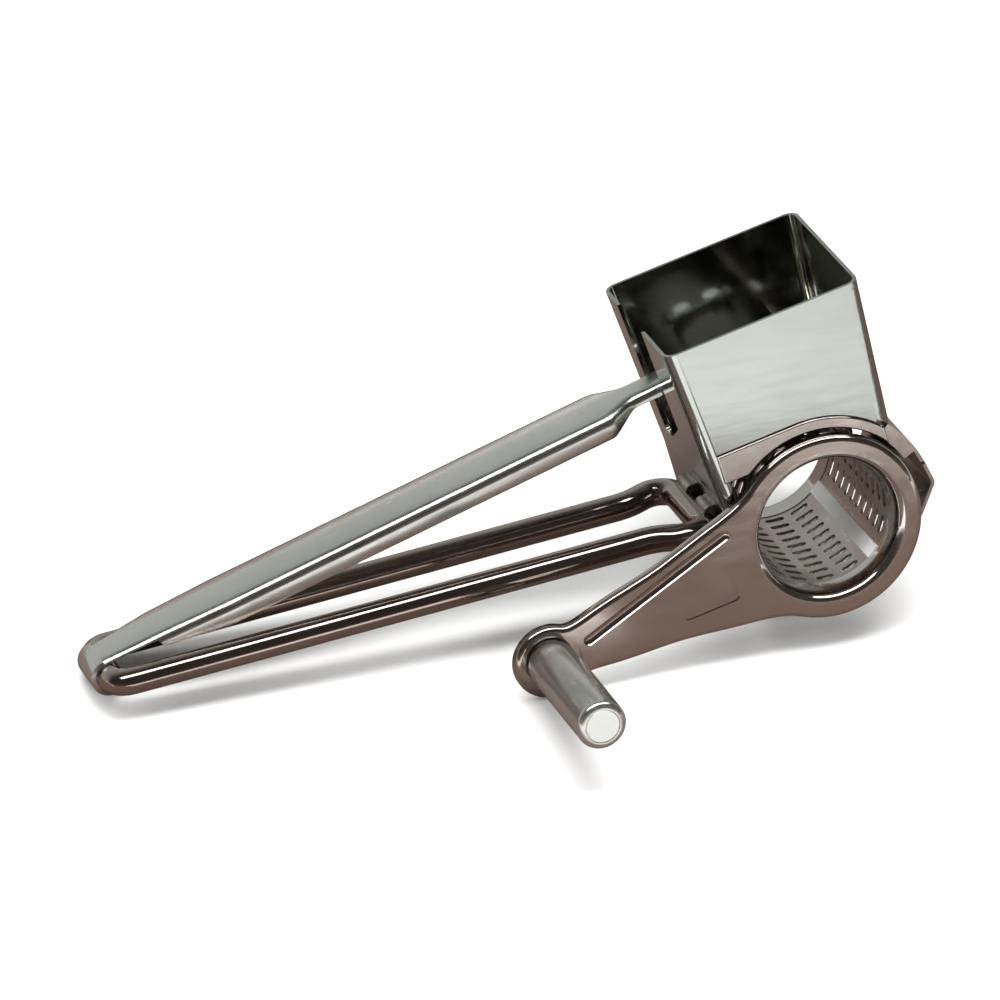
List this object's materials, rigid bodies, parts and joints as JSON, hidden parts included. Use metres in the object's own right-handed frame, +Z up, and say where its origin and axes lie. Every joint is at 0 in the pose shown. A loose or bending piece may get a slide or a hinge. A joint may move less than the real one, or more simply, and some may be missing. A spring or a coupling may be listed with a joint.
{
  "type": "rotary shredder",
  "caption": "Hand-cranked drum shredder with a tapered hopper, a wire handle and a hinged lever that presses food onto the turning drum.",
  "frame": {"origin": "centre of the bounding box, at the height of the table it lies on", "axes": "+X from the handle's tail towards the hopper, +Y from the crank to the hopper's rear, +Z up from the table"},
  "size_m": [0.2074, 0.1062, 0.0888],
  "materials": {
    "hopper_shell": "polished stainless steel",
    "front_arch": "polished stainless steel",
    "rear_collar": "polished stainless steel",
    "drum_guard": "polished stainless steel",
    "guard_lip": "polished stainless steel",
    "wire_frame": "polished stainless steel",
    "frame_welds": "satin stainless steel",
    "drum_shell": "satin stainless steel",
    "drum_seam": "satin stainless steel",
    "drum_front_rim": "polished stainless steel",
    "drum_rear_rim": "polished stainless steel",
    "crank_plate": "polished stainless steel",
    "knob_pin": "satin stainless steel",
    "knob_washer": "polished stainless steel",
    "knob_sleeve": "satin stainless steel",
    "knob_cap": "satin stainless steel",
    "press_lever": "satin stainless steel",
    "press_tongue": "polished stainless steel",
    "press_plate": "polished stainless steel",
    "press_rivets": "polished stainless steel"
  },
  "bodies": {
    "frame": {"hopper_shell": "hopper_shell", "front_arch": "front_arch", "rear_collar": "rear_collar", "drum_guard": "drum_guard", "guard_lip": "guard_lip", "wire_frame": "wire_frame", "frame_welds": "frame_welds"},
    "drum": {"drum_shell": "drum_shell", "drum_seam": "drum_seam", "drum_front_rim": "drum_front_rim", "drum_rear_rim": "drum_rear_rim", "crank_plate": "crank_plate", "knob_pin": "knob_pin", "knob_washer": "knob_washer"},
    "knob": {"knob_sleeve": "knob_sleeve", "knob_cap": "knob_cap"},
    "lever": {"press_lever": "press_lever", "press_tongue": "press_tongue", "press_plate": "press_plate", "press_rivets": "press_rivets"}
  },
  "joints": [
    {"name": "drum_spin", "type": "hinge", "parent": "frame", "child": "drum", "pos_m": [0.07452, 0.01393, 0.02429], "axis": [0.0692, 0.9579, -0.2786], "continuous": true},
    {"name": "knob_spin", "type": "hinge", "parent": "drum", "child": "knob", "pos_m": [0.00042, -0.03329, 0.01508], "axis": [0.0692, 0.9579, -0.2786], "continuous": true},
    {"name": "lever_swing", "type": "hinge", "parent": "frame", "child": "lever", "pos_m": [-0.09874, 0.0212, 0.00621], "axis": [-0.0692, -0.9579, 0.2786], "range_deg": [-3.4, 95]}
  ]
}
